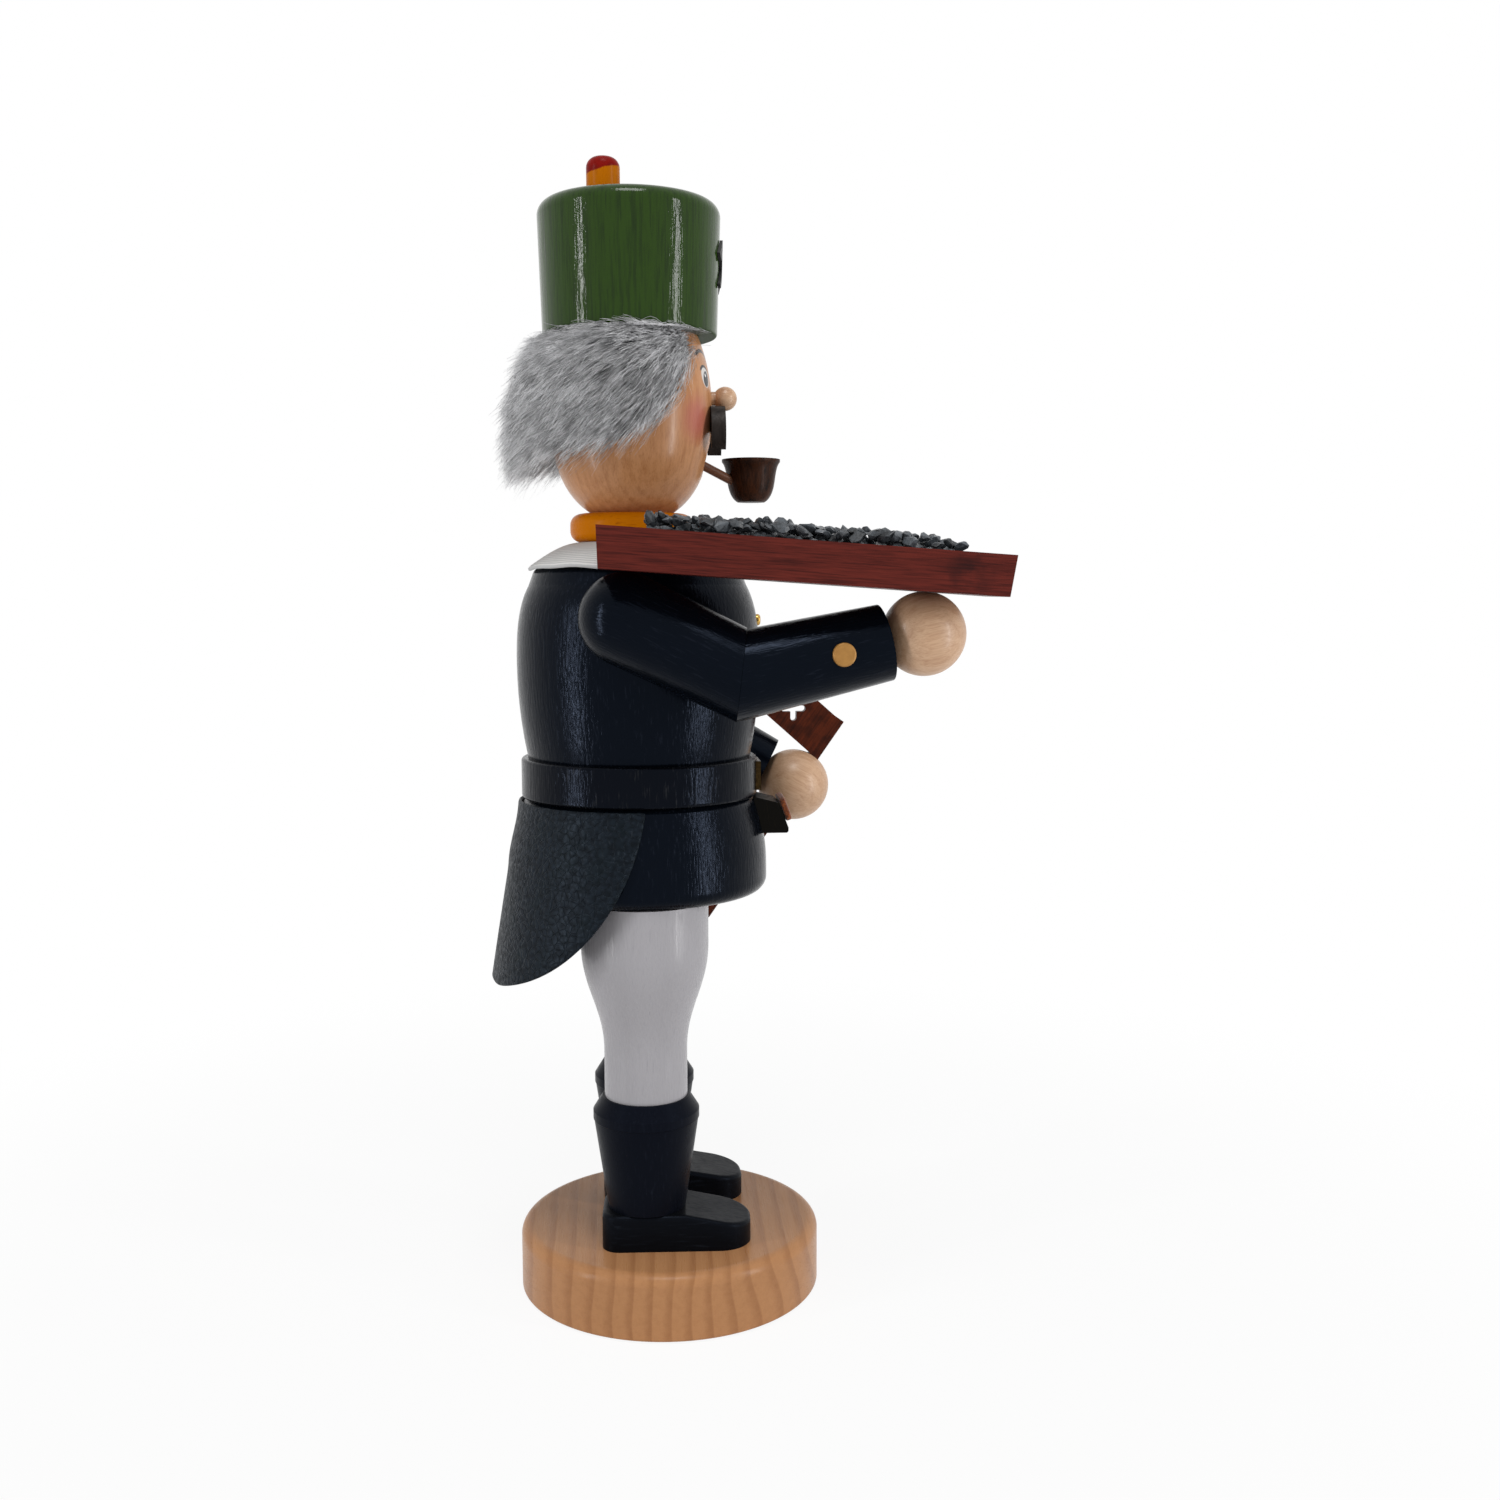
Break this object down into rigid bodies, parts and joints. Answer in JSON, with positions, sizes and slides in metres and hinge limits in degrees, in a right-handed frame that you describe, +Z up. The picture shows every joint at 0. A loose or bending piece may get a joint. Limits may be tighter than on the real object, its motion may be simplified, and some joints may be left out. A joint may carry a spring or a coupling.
{
  "type": "incense smoker figure",
  "caption": "Turned wooden miner on a round base, carrying an ore trough on the shoulder; the upper body lifts off over an incense cone and smoke leaves through the mouth.",
  "frame": {"origin": "centre of the base disc's underside", "axes": "+Z up, the figure faces -Y, its right hand is on the -X side"},
  "size_m": [0.085, 0.1003, 0.2343],
  "materials": {
    "base_wood": "clear varnish",
    "boot_black": "matt stain",
    "trouser_white": "satin paint",
    "coat_black": "semi-gloss stain over open grain",
    "leather_black": "pebbled grain",
    "suede_brown": "suede",
    "brass": "polished",
    "gold_paint": "gold paint",
    "collar_cloth": "ribbed cotton",
    "yellow_paint": "satin paint",
    "skin_wood": "clear lacquer",
    "dark_wood": "dark stain",
    "hat_green": "gloss stain over fine grain",
    "emblem_black": "satin paint",
    "hair_grey": "long pile",
    "trough_brown": "stain over fine grain",
    "axe_brown": "stain",
    "ore_stone": "broken",
    "dowel_wood": "bare"
  },
  "bodies": {
    "stand": {"base_disc": "base_wood", "right_foot": "boot_black", "right_boot_shaft": "boot_black", "right_leg": "trouser_white", "right_foot_dowel": "dowel_wood", "right_hip_dowel": "dowel_wood", "left_foot": "boot_black", "left_boot_shaft": "boot_black", "left_leg": "trouser_white", "left_foot_dowel": "dowel_wood", "left_hip_dowel": "dowel_wood", "lower_body": "coat_black", "cone_dish": "brass", "seat_leather": "leather_black", "pouch_block": "coat_black", "pouch_flap": "suede_brown"},
    "belt": {"belt_ring": "coat_black", "belt_buckle": "brass"},
    "upper_body": {"torso": "coat_black", "right_upper_arm": "coat_black", "left_upper_arm": "coat_black", "right_forearm": "coat_black", "left_forearm": "coat_black", "coat_buttons": "brass", "cuff_buttons": "gold_paint", "collar_cloth": "collar_cloth", "neck_ring": "yellow_paint", "hat_peg": "yellow_paint", "head": "skin_wood", "nose": "skin_wood", "right_hand": "skin_wood", "left_hand": "skin_wood", "moustache_right": "dark_wood", "moustache_left": "dark_wood", "pipe_bowl": "dark_wood", "pipe_stem": "dark_wood", "hat": "hat_green", "hat_emblem": "emblem_black", "hair": "hair_grey", "tray_outer_side": "trough_brown", "tray_inner_side": "trough_brown", "tray_front_end": "trough_brown", "tray_rear_end": "trough_brown", "tray_floor": "trough_brown", "parade_axe": "axe_brown", "ore_bed": "ore_stone", "ore_lumps": "ore_stone", "right_shoulder_dowel": "dowel_wood", "left_shoulder_dowel": "dowel_wood", "right_elbow_dowel": "dowel_wood", "left_elbow_dowel": "dowel_wood", "right_wrist_dowel": "dowel_wood", "left_wrist_dowel": "dowel_wood"}
  },
  "joints": [
    {"name": "upper_body_turn", "type": "hinge", "parent": "stand", "child": "belt", "pos_m": [0, 0.0056, 0.1093], "axis": [0, 0, 1], "continuous": true},
    {"name": "upper_body_lift", "type": "slide", "parent": "belt", "child": "upper_body", "axis": [0, 0, 1], "range_m": [0, 0.045]}
  ]
}
